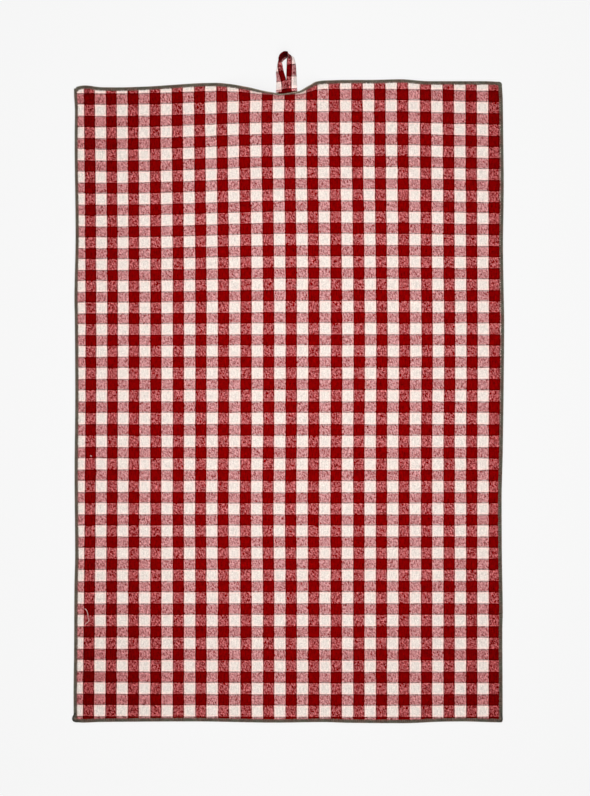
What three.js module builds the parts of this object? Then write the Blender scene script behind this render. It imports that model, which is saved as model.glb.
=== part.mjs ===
// Gingham tea towel, 470 by 700 mm, laid out face up, in millimetres.
// X runs across the towel and +Y towards its hanging loop. +Z is up.
// The origin is on the surface that it lies on, under the middle of the cloth.
import * as THREE from 'three';

const DEGREES = Math.PI / 180;

// Cut size, and the thickness of the cloth and of what is sewn to it.
const CLOTH_WIDTH = 470;
const CLOTH_LENGTH = 700;
const CLOTH_THICKNESS = 1.2;
const GAP = 0.3;

// The edging is thread sewn over the raw edge, so its section is a flat U.
const EDGING_WIDTH = 4;
const EDGING_WALL = 0.4;
const EDGING_ROUND = 0.45;
const EDGING_HALF = CLOTH_THICKNESS / 2 + GAP + EDGING_WALL;
const CLOTH_INSET = EDGING_WALL + GAP;

// The border lies on its edging, so it is lifted there and comes down to the surface further in.
const BORDER_LIFT = EDGING_WALL + GAP;
const BORDER_LEVEL = 4.6;
const BORDER_REACH = 13;

// Next to the loop the border stands up: it leaves the surface along a fold line, on a round of this radius.
const FOLD_DEPTH = 20;
const FOLD_RADIUS = 5.6;

// The hanging loop is a strip of the same cloth, folded flat and bent along its middle where it turns.
const STRIP_HALF_WIDTH = 5.9;
const STRIP_THICKNESS = 1.8;
const STRIP_STEP = 2.4;

// How close the cloth's grid is, in general and where it bends.
const WIDE_COLUMNS = 21;
const CLOSE_COLUMNS = 6;
const WIDE_ROWS = 40;
const ROUND_ROWS = 5;
const MIDDLE_OF_BORDER = 8;

const RED = 0x8c2f33;
const OLIVE = 0x5f5446;

// Where each edge runs: out is how far it lies outside the cut size, at places along the edge.
const TOP_EDGE = [
  { at: -235, out: -6.0 }, { at: -229, out: -3.0 }, { at: -224, out: -1.8 }, { at: -206, out: -3.8 },
  { at: -189, out: -4.0 }, { at: -154, out: -3.0 }, { at: -128, out: -1.3 }, { at: -92, out: 0.8 },
  { at: -60, out: 1.2 }, { at: 0, out: 2.7 }, { at: 40, out: 3.4 }, { at: 92, out: 4.2 },
  { at: 123, out: 4.9 }, { at: 153, out: 2.8 }, { at: 215, out: 2.8 }, { at: 235, out: 1.8 },
];
const BOTTOM_EDGE = [
  { at: -235, out: 1.0 }, { at: -224, out: 1.5 }, { at: -206, out: 0.8 }, { at: -101, out: 0.2 },
  { at: -14, out: 1.5 }, { at: 39, out: 0.9 }, { at: 66, out: 1.7 }, { at: 127, out: 2.1 },
  { at: 171, out: 0.4 }, { at: 189, out: 0.2 }, { at: 235, out: 1.2 },
];
const LEFT_EDGE = [
  { at: -350, out: 1.2 }, { at: -323, out: 1.3 }, { at: -270, out: 0.8 }, { at: -200, out: 0.4 },
  { at: -165, out: -0.4 }, { at: -77, out: 0.2 }, { at: 11, out: -0.5 }, { at: 99, out: 0.0 },
  { at: 116, out: 0.4 }, { at: 187, out: -0.9 }, { at: 292, out: 0.1 }, { at: 327, out: -0.2 },
  { at: 345, out: 0.8 },
];
const RIGHT_EDGE = [
  { at: -336, out: -0.2 }, { at: -248, out: -0.5 }, { at: -231, out: -0.1 }, { at: -160, out: -1.1 },
  { at: -108, out: -1.3 }, { at: -55, out: -0.1 }, { at: 33, out: 1.1 }, { at: 86, out: 1.5 },
  { at: 121, out: 0.9 }, { at: 173, out: 0.2 }, { at: 209, out: 0.3 }, { at: 279, out: 0.5 },
  { at: 332, out: -0.1 }, { at: 349, out: -1.0 },
];

// How steeply the border stands along the top edge, in degrees.
const STANDING_BORDER = [
  { at: -88, lean: 0 }, { at: -66, lean: 21 }, { at: -52, lean: 37 }, { at: -43, lean: 47 },
  { at: -34, lean: 59 }, { at: -26, lean: 69 }, { at: -17, lean: 76 }, { at: -9, lean: 88 },
  { at: -2, lean: 85 }, { at: 4, lean: 80 }, { at: 12, lean: 75 }, { at: 16, lean: 66 },
  { at: 21, lean: 52 }, { at: 25, lean: 40 }, { at: 29, lean: 23 }, { at: 34, lean: 12 },
  { at: 42, lean: 0 },
];

// Low waves in the cloth: where the middle of each one is, how far it reaches and how high it lifts.
const WAVES = [
  { x: -36, y: 40, reachX: 26, reachY: 260, height: 1.5 },
  { x: 92, y: 30, reachX: 30, reachY: 220, height: 1.3 },
  { x: -180, y: 250, reachX: 46, reachY: 60, height: 1.6 },
  { x: -150, y: -250, reachX: 60, reachY: 44, height: 1.2 },
  { x: 176, y: 226, reachX: 40, reachY: 70, height: 1.3 },
  { x: 60, y: -268, reachX: 80, reachY: 36, height: 1.1 },
];

// The strip's crease line, from where it is sewn on behind the left of the border, over the tip and back.
// heading points from the loop's hole outwards across the strip, in degrees from +X towards +Y. The inner
// half of the strip rises by innerTurn towards the hole, and the outer half drops by outerTurn, so that it
// stands on its outer edge at the tip. rise is how far that edge is off the surface.
const LOOP_ROUTE = [
  { x: -8.0, y: 340.5, rise: 11.8, heading: 177, innerTurn: 0, outerTurn: 0 },
  { x: -8.0, y: 340.5, rise: 4.2, heading: 177, innerTurn: 0, outerTurn: 0 },
  { x: -8.0, y: 342.2, rise: 0.6, heading: 178, innerTurn: 0, outerTurn: 0 },
  { x: -8.1, y: 346.6, rise: 0, heading: 178, innerTurn: 2, outerTurn: 6 },
  { x: -9.0, y: 354.4, rise: 0, heading: 173, innerTurn: 6, outerTurn: 32 },
  { x: -10.7, y: 362.4, rise: 0, heading: 170, innerTurn: 12, outerTurn: 60 },
  { x: -11.6, y: 369.0, rise: 0, heading: 168, innerTurn: 30, outerTurn: 84 },
  { x: -10.2, y: 375.0, rise: 0, heading: 150, innerTurn: 84, outerTurn: 112 },
  { x: -7.3, y: 379.0, rise: 0, heading: 122, innerTurn: 115, outerTurn: 136 },
  { x: -3.5, y: 381.1, rise: 0, heading: 90, innerTurn: 122, outerTurn: 132 },
  { x: 0.0, y: 380.2, rise: 0, heading: 54, innerTurn: 96, outerTurn: 106 },
  { x: 2.8, y: 377.6, rise: 0, heading: 26, innerTurn: 46, outerTurn: 74 },
  { x: 3.9, y: 371.0, rise: 0, heading: 6, innerTurn: 30, outerTurn: 52 },
  { x: 3.8, y: 360.0, rise: 0, heading: 0, innerTurn: 20, outerTurn: 28 },
  { x: 4.1, y: 348.0, rise: 0, heading: -2, innerTurn: 0, outerTurn: 4 },
  { x: 4.1, y: 343.1, rise: 0.6, heading: 4, innerTurn: 0, outerTurn: 0 },
  { x: 4.1, y: 341.3, rise: 4.2, heading: 8, innerTurn: 0, outerTurn: 0 },
  { x: 4.1, y: 341.3, rise: 11.8, heading: 8, innerTurn: 0, outerTurn: 0 },
];

function between(low, value, high) {
  return Math.min(Math.max(value, low), high);
}

function ease(u) {
  const v = between(0, u, 1);
  return v * v * (3 - 2 * v);
}

// Reads a named column of a table at any place along it, on a smooth curve that stays between its rows.
function readTable(rows, at, column) {
  if (at <= rows[0].at) return rows[0][column];
  const next = rows.findIndex((row) => row.at >= at);
  if (next < 0) return rows[rows.length - 1][column];
  const [a, b] = [rows[next - 1], rows[next]];
  const span = b.at - a.at;
  const u = (at - a.at) / span;
  const start = slopeAt(rows, next - 1, column) * span;
  const end = slopeAt(rows, next, column) * span;
  const eased = a[column] + (b[column] - a[column]) * ease(u);
  return eased + start * u * (1 - u) ** 2 - end * u * u * (1 - u);
}

// The curve's slope at a row: level at the ends and at each high or low point.
function slopeAt(rows, index, column) {
  if (index === 0 || index === rows.length - 1) return 0;
  const climb = (i) => (rows[i + 1][column] - rows[i][column]) / (rows[i + 1].at - rows[i].at);
  const [before, after] = [climb(index - 1), climb(index)];
  return before * after > 0 ? (2 * before * after) / (before + after) : 0;
}

const topY = (x) => CLOTH_LENGTH / 2 + readTable(TOP_EDGE, x, 'out');
const bottomY = (x) => -CLOTH_LENGTH / 2 - readTable(BOTTOM_EDGE, x, 'out');
const leftX = (y) => -CLOTH_WIDTH / 2 - readTable(LEFT_EDGE, y, 'out');
const rightX = (y) => CLOTH_WIDTH / 2 + readTable(RIGHT_EDGE, y, 'out');

function bump(u) {
  return Math.abs(u) < 1 ? (1 + Math.cos(Math.PI * u)) / 2 : 0;
}

// How far the underside is off the surface: the low waves, and the border that lies on its edging.
function liftAt(x, y) {
  const edge = Math.min(x - leftX(y), rightX(y) - x, y - bottomY(x), topY(x) - y);
  const border = BORDER_LIFT * (1 - ease((edge - BORDER_LEVEL) / (BORDER_REACH - BORDER_LEVEL)));
  const inside = ease((edge - BORDER_REACH) / BORDER_REACH);
  const waves = WAVES.reduce((sum, wave) => {
    const share = bump((x - wave.x) / wave.reachX) * bump((y - wave.y) / wave.reachY);
    return sum + wave.height * share;
  }, 0);
  return border + inside * waves;
}

// Places a point of the flat cloth, raised by height off its underside, and bends it up past the fold line.
function placeOnCloth(x, y, height) {
  const lean = readTable(STANDING_BORDER, x, 'lean') * DEGREES;
  const foldY = topY(x) - FOLD_DEPTH;
  const along = y - foldY;
  if (lean === 0 || along <= 0) return new THREE.Vector3(x, y, height);
  const angle = Math.min(along / FOLD_RADIUS, lean);
  const straight = along - angle * FOLD_RADIUS;
  return new THREE.Vector3(
    x,
    foldY + (FOLD_RADIUS - height) * Math.sin(angle) + straight * Math.cos(angle),
    FOLD_RADIUS - (FOLD_RADIUS - height) * Math.cos(angle) + straight * Math.sin(angle),
  );
}

// Distances from one cloth edge to the other: close together at both edges and where extra places are given.
function stationsAcross(length, step, extra) {
  const nearEdge = [0, EDGING_WIDTH + GAP - CLOTH_INSET, MIDDLE_OF_BORDER, BORDER_REACH];
  const inner = [];
  const steps = Math.round((length - 2 * BORDER_REACH) / step);
  for (let i = 1; i < steps; i += 1) {
    inner.push(BORDER_REACH + (i * (length - 2 * BORDER_REACH)) / steps);
  }
  const clear = inner.filter((at) => extra.every((place) => Math.abs(place - at) > step / 3));
  const all = [...nearEdge, ...nearEdge.map((at) => length - at), ...clear, ...extra];
  return [...new Set(all)].sort((a, b) => a - b);
}

const INNER_WIDTH = CLOTH_WIDTH - 2 * CLOTH_INSET;
const INNER_LENGTH = CLOTH_LENGTH - 2 * CLOTH_INSET;

// Columns stand closer where the border stands up, with one at each place where its lean is given.
function columnStations() {
  const close = STANDING_BORDER.flatMap(({ at }, index) => {
    const before = index === 0 ? at : STANDING_BORDER[index - 1].at;
    const steps = Math.max(1, Math.ceil((at - before) / CLOSE_COLUMNS));
    return Array.from({ length: steps }, (_, i) => at - ((at - before) * i) / steps + INNER_WIDTH / 2);
  });
  return stationsAcross(INNER_WIDTH, WIDE_COLUMNS, close);
}

// Rows stand closer on the round that lifts the border.
function rowStations() {
  const foldAt = INNER_LENGTH - FOLD_DEPTH + CLOTH_INSET;
  const steepest = Math.max(...STANDING_BORDER.map(({ lean }) => lean));
  const round = FOLD_RADIUS * steepest * DEGREES;
  const close = Array.from({ length: ROUND_ROWS + 1 }, (_, i) => foldAt + (round * i) / ROUND_ROWS);
  return stationsAcross(INNER_LENGTH, WIDE_ROWS, close).filter(
    (at) => at <= foldAt || at >= INNER_LENGTH - MIDDLE_OF_BORDER || close.includes(at),
  );
}

const COLUMNS = columnStations();
const ROWS = rowStations();

// The flat place of a grid point. The last rows keep their distance from the top edge, as the fold line does.
function flatPlace(column, row) {
  const xMiddle = column - INNER_WIDTH / 2;
  const yMiddle = row - INNER_LENGTH / 2;
  const left = leftX(yMiddle) + CLOTH_INSET;
  const right = rightX(yMiddle) - CLOTH_INSET;
  const x = left + ((right - left) * column) / INNER_WIDTH;
  const bottom = bottomY(xMiddle) + CLOTH_INSET;
  const top = topY(x) - CLOTH_INSET;
  const fromTop = INNER_LENGTH - row;
  const y = fromTop < 2 * FOLD_DEPTH ? top - fromTop : bottom + ((top - bottom) * row) / INNER_LENGTH;
  return { x, y };
}

function clothPoint(column, row, height) {
  const { x, y } = flatPlace(column, row);
  return placeOnCloth(x, y, liftAt(x, y) + height);
}

// Closes rings of points into one body: each ring is joined to the next, and the first and last are capped.
function bodyFromRings(rings, capTriangles) {
  const count = rings[0].length;
  const triangles = [];
  for (let r = 0; r + 1 < rings.length; r += 1) {
    for (let i = 0; i < count; i += 1) {
      const j = (i + 1) % count;
      const [a, b] = [r * count + i, r * count + j];
      const [c, d] = [a + count, b + count];
      triangles.push([a, b, d], [a, d, c]);
    }
  }
  const last = (rings.length - 1) * count;
  capTriangles.forEach(([a, b, c]) => {
    triangles.push([a, c, b]);
    triangles.push([last + a, last + b, last + c]);
  });
  return geometryFrom(rings.flat(), triangles);
}

// Makes a geometry, turned right side out whichever way its rings ran.
function geometryFrom(points, triangles) {
  const volume = triangles.reduce((sum, [a, b, c]) => {
    const cross = new THREE.Vector3().crossVectors(points[b], points[c]);
    return sum + points[a].dot(cross);
  }, 0);
  const outward = volume > 0 ? triangles : triangles.map(([a, b, c]) => [a, c, b]);
  const geometry = new THREE.BufferGeometry();
  const positions = points.flatMap((point) => point.toArray());
  geometry.setAttribute('position', new THREE.Float32BufferAttribute(positions, 3));
  geometry.setIndex(outward.flat());
  geometry.computeVertexNormals();
  return geometry;
}

// The cloth: each column of the grid is a thin closed ring, up the underside and back down the face.
function clothGeometry() {
  const rings = COLUMNS.map((column) => {
    const under = ROWS.map((row) => clothPoint(column, row, 0));
    const face = ROWS.map((row) => clothPoint(column, row, CLOTH_THICKNESS));
    return [...under, ...face.reverse()];
  });
  const count = 2 * ROWS.length;
  const cap = [];
  for (let i = 0; i + 1 < ROWS.length; i += 1) {
    const [a, b] = [i, i + 1];
    const [c, d] = [count - 1 - i, count - 2 - i];
    cap.push([a, b, d], [a, d, c]);
  }
  return bodyFromRings(rings, cap);
}

// The edging's section: inward from the outline, and above or below the middle of the cloth.
function edgingSection() {
  const slot = CLOTH_THICKNESS / 2 + GAP;
  const tip = EDGING_WIDTH - EDGING_ROUND;
  return [
    { inward: EDGING_ROUND, above: -EDGING_HALF }, { inward: tip, above: -EDGING_HALF },
    { inward: EDGING_WIDTH, above: -slot }, { inward: EDGING_WALL, above: -slot },
    { inward: EDGING_WALL, above: slot }, { inward: EDGING_WIDTH, above: slot },
    { inward: tip, above: EDGING_HALF }, { inward: EDGING_ROUND, above: EDGING_HALF },
    { inward: 0, above: EDGING_HALF - EDGING_ROUND }, { inward: 0, above: EDGING_ROUND - EDGING_HALF },
  ];
}

const EDGING_CAP = [[0, 1, 2], [0, 2, 3], [0, 3, 9], [9, 3, 4], [9, 4, 8], [8, 4, 7], [7, 4, 5], [7, 5, 6]];

// Sweeps the section along flat places of the cloth's edge. inwardX and inwardY point into the cloth.
function edgingGeometry(places, inwardX, inwardY) {
  const rings = places.map(({ x, y }) => edgingSection().map(({ inward, above }) => {
    const depth = inward - CLOTH_INSET;
    const height = BORDER_LIFT + CLOTH_THICKNESS / 2 + above;
    return placeOnCloth(x + inwardX * depth, y + inwardY * depth, height);
  }));
  return bodyFromRings(rings, EDGING_CAP);
}

// The long sides run past the corners, and the short sides lie between them.
function sidePlaces(column) {
  const places = ROWS.map((row) => flatPlace(column, row));
  const first = places[0];
  const last = places[places.length - 1];
  const start = { x: first.x, y: first.y - CLOTH_INSET };
  const end = { x: last.x, y: last.y + CLOTH_INSET };
  return [start, ...places, end];
}

function crossPlaces(row) {
  return COLUMNS.slice(1, -1).map((column) => flatPlace(column, row));
}

// How high the crease is where the outer half of the strip, turned down by outerTurn, stands on the surface.
function standingHeight(outerTurn) {
  const turn = outerTurn * DEGREES;
  return STRIP_HALF_WIDTH * Math.sin(turn) + (STRIP_THICKNESS / 2) * Math.abs(Math.cos(turn));
}

function loopPlace({ x, y, rise, outerTurn }) {
  return new THREE.Vector3(x, y, standingHeight(outerTurn) + rise);
}

// The crease line of the loop, and its headings and turns, at even steps along a smooth curve.
function loopStations() {
  const points = LOOP_ROUTE.map(loopPlace);
  const curve = new THREE.CatmullRomCurve3(points, false, 'centripetal');
  const spans = LOOP_ROUTE.length - 1;
  const stations = [];
  LOOP_ROUTE.slice(1).forEach((row, index) => {
    const before = LOOP_ROUTE[index];
    const steps = Math.max(1, Math.round(points[index].distanceTo(points[index + 1]) / STRIP_STEP));
    for (let i = index === 0 ? 0 : 1; i <= steps; i += 1) {
      const share = i / steps;
      const mix = (column) => before[column] + (row[column] - before[column]) * share;
      const at = (index + share) / spans;
      const place = curve.getPoint(at).setZ(standingHeight(mix('outerTurn')) + mix('rise'));
      stations.push({
        place,
        forward: curve.getTangent(at),
        heading: mix('heading') * DEGREES,
        innerTurn: mix('innerTurn') * DEGREES,
        outerTurn: mix('outerTurn') * DEGREES,
      });
    }
  });
  return stations;
}

// One section of the strip: two flat halves that meet at the crease, with half the thickness on each side.
function stripSection({ place, forward, heading, innerTurn, outerTurn }) {
  const out = new THREE.Vector3(Math.cos(heading), Math.sin(heading), 0);
  const up = new THREE.Vector3(0, 0, 1);
  const inner = out.clone().multiplyScalar(-Math.cos(innerTurn)).addScaledVector(up, Math.sin(innerTurn));
  const outer = out.clone().multiplyScalar(Math.cos(outerTurn)).addScaledVector(up, -Math.sin(outerTurn));
  [inner, outer].forEach((half) => half.addScaledVector(forward, -half.dot(forward)).normalize());
  const innerFace = new THREE.Vector3().crossVectors(forward, inner).normalize();
  const outerFace = new THREE.Vector3().crossVectors(outer, forward).normalize();
  const creaseFace = innerFace.clone().add(outerFace).normalize();
  const mitre = 1 / Math.max(0.6, creaseFace.dot(innerFace));
  const half = STRIP_THICKNESS / 2;
  const edge = (direction, face, side) => place.clone()
    .addScaledVector(direction, STRIP_HALF_WIDTH).addScaledVector(face, side * half);
  const crease = (side) => place.clone().addScaledVector(creaseFace, side * half * mitre);
  return [
    edge(inner, innerFace, -1), crease(-1), edge(outer, outerFace, -1),
    edge(outer, outerFace, 1), crease(1), edge(inner, innerFace, 1),
  ];
}

const STRIP_CAP = [[0, 1, 4], [0, 4, 5], [1, 2, 3], [1, 3, 4]];

function loopGeometry() {
  return bodyFromRings(loopStations().map(stripSection), STRIP_CAP);
}

function addPiece(group, name, geometry, color, roughness) {
  const material = new THREE.MeshStandardMaterial({ color, roughness, metalness: 0 });
  const mesh = new THREE.Mesh(geometry, material);
  mesh.name = name;
  group.add(mesh);
}

const towel = new THREE.Group();
addPiece(towel, 'cloth', clothGeometry(), RED, 0.9);
addPiece(towel, 'edging_left', edgingGeometry(sidePlaces(COLUMNS[0]), 1, 0), OLIVE, 0.8);
addPiece(towel, 'edging_right', edgingGeometry(sidePlaces(COLUMNS[COLUMNS.length - 1]), -1, 0), OLIVE, 0.8);
addPiece(towel, 'edging_bottom', edgingGeometry(crossPlaces(ROWS[0]), 0, 1), OLIVE, 0.8);
addPiece(towel, 'edging_top', edgingGeometry(crossPlaces(ROWS[ROWS.length - 1]), 0, -1), OLIVE, 0.8);
addPiece(towel, 'hanging_loop', loopGeometry(), RED, 0.9);

export default towel;
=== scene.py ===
"""A gingham tea towel with a hanging loop, laid out on a pale floor and seen from straight above.

Tables and sizes are in millimetres, and meshes are in metres. X runs across the towel to the right, +Y along
it towards the hanging loop, and +Z up out of its face. The origin is under the middle of the cloth.
"""

from __future__ import annotations

import bisect
import logging
import math
from collections.abc import Callable, Iterable, Iterator, Sequence
from dataclasses import dataclass, field
from enum import Enum
from typing import NamedTuple

import bpy
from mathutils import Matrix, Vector

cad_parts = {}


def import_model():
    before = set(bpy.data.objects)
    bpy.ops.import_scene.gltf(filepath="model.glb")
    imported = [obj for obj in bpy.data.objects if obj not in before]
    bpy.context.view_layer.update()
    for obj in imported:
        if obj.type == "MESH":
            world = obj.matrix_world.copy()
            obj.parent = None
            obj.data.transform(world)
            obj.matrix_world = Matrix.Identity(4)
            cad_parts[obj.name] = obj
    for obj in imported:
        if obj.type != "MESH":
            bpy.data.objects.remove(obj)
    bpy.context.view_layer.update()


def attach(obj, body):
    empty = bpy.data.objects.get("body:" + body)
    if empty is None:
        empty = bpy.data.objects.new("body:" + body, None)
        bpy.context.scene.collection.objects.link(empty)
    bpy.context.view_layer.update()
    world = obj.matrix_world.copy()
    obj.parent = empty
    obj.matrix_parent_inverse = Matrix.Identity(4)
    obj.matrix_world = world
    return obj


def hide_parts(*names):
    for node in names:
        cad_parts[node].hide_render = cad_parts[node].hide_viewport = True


LOG = logging.getLogger("tea_towel")

MM = 0.001
BODY = "root"
THREADS = "threads"
ACROSS = "across"
PAINTED_SHADE = "depth"
SHADE_AND_BESIDE_REDNESS = "dye"

Colour = tuple[float, float, float, float]
Face = tuple[int, ...]
Pair = tuple[float, float]
Triple = tuple[float, float, float]

PLAIN: Colour = (1.0, 1.0, 1.0, 1.0)
OFF_AXIS = Vector((0.3, 0.2, 1.0))


def tone(red: float, green: float, blue: float) -> Colour:
    """Turns a screen colour into the linear one that a shader takes.

    Args:
        red: Red, from 0 to 255.
        green: Green, from 0 to 255.
        blue: Blue, from 0 to 255.

    Returns:
        The linear colour, opaque.
    """
    parts = [part / 255.0 for part in (red, green, blue)]
    flat = [part / 12.92 if part <= 0.04045 else ((part + 0.055) / 1.055) ** 2.4 for part in parts]
    return flat[0], flat[1], flat[2], 1.0


def ease(share: float) -> float:
    """Runs from 0 to 1 with a level start and end."""
    held = min(max(share, 0.0), 1.0)
    return held * held * (3.0 - 2.0 * held)


def bump(share: float) -> float:
    """A soft hump that is 1 at 0 and nothing from 1 on, on either side."""
    return (1.0 + math.cos(math.pi * share)) / 2.0 if abs(share) < 1.0 else 0.0


class Track:
    """A smooth curve through a short table of (place, value) rows, which stays between its rows."""

    def __init__(self, rows: Sequence[Pair]) -> None:
        """Keeps the rows and works out the slope at each.

        Args:
            rows: The place and value of each, in order of place.
        """
        self.places = [row[0] for row in rows]
        self.values = [row[1] for row in rows]
        self.slopes = [self._slope(index) for index in range(len(rows))]

    def _slope(self, index: int) -> float:
        """Works out the slope at a row: level at the ends and at each high or low point.

        Args:
            index: The row's number.

        Returns:
            The slope.
        """
        if index in (0, len(self.places) - 1):
            return 0.0
        before, after = (
            (self.values[i + 1] - self.values[i]) / (self.places[i + 1] - self.places[i])
            for i in (index - 1, index)
        )
        return 2.0 * before * after / (before + after) if before * after > 0.0 else 0.0

    def read(self, at: float) -> float:
        """Reads the curve.

        Args:
            at: The place, in the table's own unit.

        Returns:
            The value there.
        """
        if at <= self.places[0]:
            return self.values[0]
        if at >= self.places[-1]:
            return self.values[-1]
        after = bisect.bisect_left(self.places, at)
        before = after - 1
        span = self.places[after] - self.places[before]
        share = (at - self.places[before]) / span
        rise = self.values[after] - self.values[before]
        start = self.slopes[before] * span * share * (1.0 - share) ** 2
        end = self.slopes[after] * span * share * share * (1.0 - share)
        return self.values[before] + rise * ease(share) + start - end


class Wave(NamedTuple):
    """A low wave in the cloth: its middle, how far it reaches and how high it lifts."""

    x: float
    y: float
    reach_x: float
    reach_y: float
    height: float


class Stray(NamedTuple):
    """A patch where the check strays from an even grid, to the right and downwards."""

    x: float
    y: float
    reach_x: float
    reach_y: float
    right: float
    down: float


def felt(patch: Wave | Stray, x: float, y: float) -> float:
    """How much of a wave or a stray is felt at a place, from 0 to 1."""
    return bump((x - patch.x) / patch.reach_x) * bump((y - patch.y) / patch.reach_y)


@dataclass(frozen=True)
class ClothForm:
    """The lie of the cloth: its outline, its low waves and the border that stands up next to the loop."""

    width: float = 470.0
    length: float = 700.0
    inset: float = 0.7
    border_lift: float = 0.7
    border_level: float = 4.6
    border_reach: float = 13.0
    fold_depth: float = 20.0
    fold_radius: float = 5.6
    fold_from: float = -94.0
    fold_to: float = 44.0
    middle: float = 0.4
    corners: tuple[float, float, float, float] = (2.4, 2.4, 3.2, 0.6)
    top: Track = Track([
        (-235, -5.6), (-232.5, -3.3), (-229, -2.4), (-224, -1.8), (-206, -3.8), (-189, -4.0), (-154, -3.0),
        (-128, -1.3), (-92, 0.8), (-60, 1.2), (0, 2.7), (40, 3.6), (62, 4.15), (92, 4.2), (123, 4.9),
        (153, 2.8), (215, 2.8), (235, 2.0),
    ])
    bottom: Track = Track([
        (-235, 1.0), (-224, 1.5), (-206, 0.8), (-101, 0.2), (-14, 1.5), (39, 0.9), (66, 1.7), (127, 2.1),
        (171, 0.4), (189, 0.2), (235, 1.2),
    ])
    left: Track = Track([
        (-350, 1.2), (-323, 1.3), (-270, 0.8), (-200, 0.4), (-165, -0.4), (-77, 0.2), (11, -0.5), (99, 0.0),
        (116, 0.4), (187, -0.9), (292, 0.1), (327, -0.2), (345, 0.8),
    ])
    right: Track = Track([
        (-336, -0.2), (-248, -0.5), (-231, -0.1), (-160, -1.1), (-108, -1.3), (-55, -0.1), (33, 1.1),
        (86, 1.5), (121, 0.9), (173, 0.2), (209, 0.7), (240, 1.0), (279, 0.6), (332, -0.1), (349, -1.0),
    ])
    lean: Track = Track([
        (-88, 0), (-66, 21), (-52, 38), (-43, 48.5), (-34, 60.5), (-26, 70.5), (-17, 79), (-9, 88), (-2, 85),
        (4, 80), (12, 74), (16, 64), (21, 50), (25, 39), (29, 23), (34, 12), (42, 0),
    ])
    waves: tuple[Wave, ...] = (
        Wave(-36, 40, 26, 260, 1.5),
        Wave(92, 30, 30, 220, 1.3),
        Wave(-180, 250, 46, 60, 1.6),
        Wave(-150, -250, 60, 44, 1.2),
        Wave(176, 226, 40, 70, 1.3),
        Wave(60, -268, 80, 36, 1.1),
    )

    @property
    def inner_width(self) -> float:
        """The cloth's width inside its edging."""
        return self.width - 2.0 * self.inset

    @property
    def inner_length(self) -> float:
        """The cloth's length inside its edging."""
        return self.length - 2.0 * self.inset

    def top_y(self, x: float) -> float:
        """Where the top edge of the towel runs."""
        return self.length / 2.0 + self.top.read(x)

    def bottom_y(self, x: float) -> float:
        """Where the bottom edge of the towel runs."""
        return -self.length / 2.0 - self.bottom.read(x)

    def left_x(self, y: float) -> float:
        """Where the left edge of the towel runs."""
        return -self.width / 2.0 - self.left.read(y)

    def right_x(self, y: float) -> float:
        """Where the right edge of the towel runs."""
        return self.width / 2.0 + self.right.read(y)

    def lift(self, x: float, y: float) -> float:
        """How far the underside is off the floor: the low waves, and the border that lies on its edging.

        Args:
            x: Across the flat cloth.
            y: Along the flat cloth.

        Returns:
            The height, in millimetres.
        """
        edge = min(x - self.left_x(y), self.right_x(y) - x, y - self.bottom_y(x), self.top_y(x) - y)
        slope = (edge - self.border_level) / (self.border_reach - self.border_level)
        border = self.border_lift * (1.0 - ease(slope))
        inside = ease((edge - self.border_reach) / self.border_reach)
        return border + inside * sum(wave.height * felt(wave, x, y) for wave in self.waves)

    def place(self, x: float, y: float, height: float) -> Vector:
        """Places a point of the flat cloth where the border's fold takes it.

        Args:
            x: Across the flat cloth.
            y: Along the flat cloth.
            height: Above the cloth's underside, or above the floor where the cloth lies flat.

        Returns:
            The point, in millimetres.
        """
        lean = math.radians(self.lean.read(x))
        fold_y = self.top_y(x) - self.fold_depth
        along = y - fold_y
        if lean <= 0.0 or along <= 0.0:
            return Vector((x, y, height))
        angle = min(along / self.fold_radius, lean)
        straight = along - angle * self.fold_radius
        arm = self.fold_radius - height
        return Vector((
            x,
            fold_y + arm * math.sin(angle) + straight * math.cos(angle),
            self.fold_radius - arm * math.cos(angle) + straight * math.sin(angle),
        ))

    def flat_place(self, column: float, row: float) -> Pair:
        """Finds the flat place of a grid point of the cloth.

        Args:
            column: Distance from the cloth's left edge.
            row: Distance from the cloth's bottom edge.

        Returns:
            Its place across and along the towel.
        """
        column, row = self._rounded(column, row)
        x_even = column - self.inner_width / 2.0
        y_even = row - self.inner_length / 2.0
        left = self.left_x(y_even) + self.inset
        right = self.right_x(y_even) - self.inset
        x = left + (right - left) * column / self.inner_width
        bottom = self.bottom_y(x_even) + self.inset
        top = self.top_y(x) - self.inset
        from_top = self.inner_length - row
        if from_top < 2.0 * self.fold_depth:
            return x, top - from_top
        return x, bottom + (top - bottom) * row / self.inner_length

    def _rounded(self, column: float, row: float) -> Pair:
        """Draws a grid point in where it is near a corner, so that the outline is round there.

        Args:
            column: Distance from the cloth's left edge.
            row: Distance from the cloth's bottom edge.

        Returns:
            Both distances, changed only near a corner.
        """
        right = column > self.inner_width / 2.0
        upper = row > self.inner_length / 2.0
        radius = self.corners[(3 if not right else 2) if upper else (1 if right else 0)]
        across = radius - self.inset - (self.inner_width - column if right else column)
        along = radius - self.inset - (self.inner_length - row if upper else row)
        if across <= 0.0 or along <= 0.0:
            return column, row
        change = 1.0 - max(across, along) / math.hypot(across, along)
        return (
            column - across * change if right else column + across * change,
            row - along * change if upper else row + along * change,
        )


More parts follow.
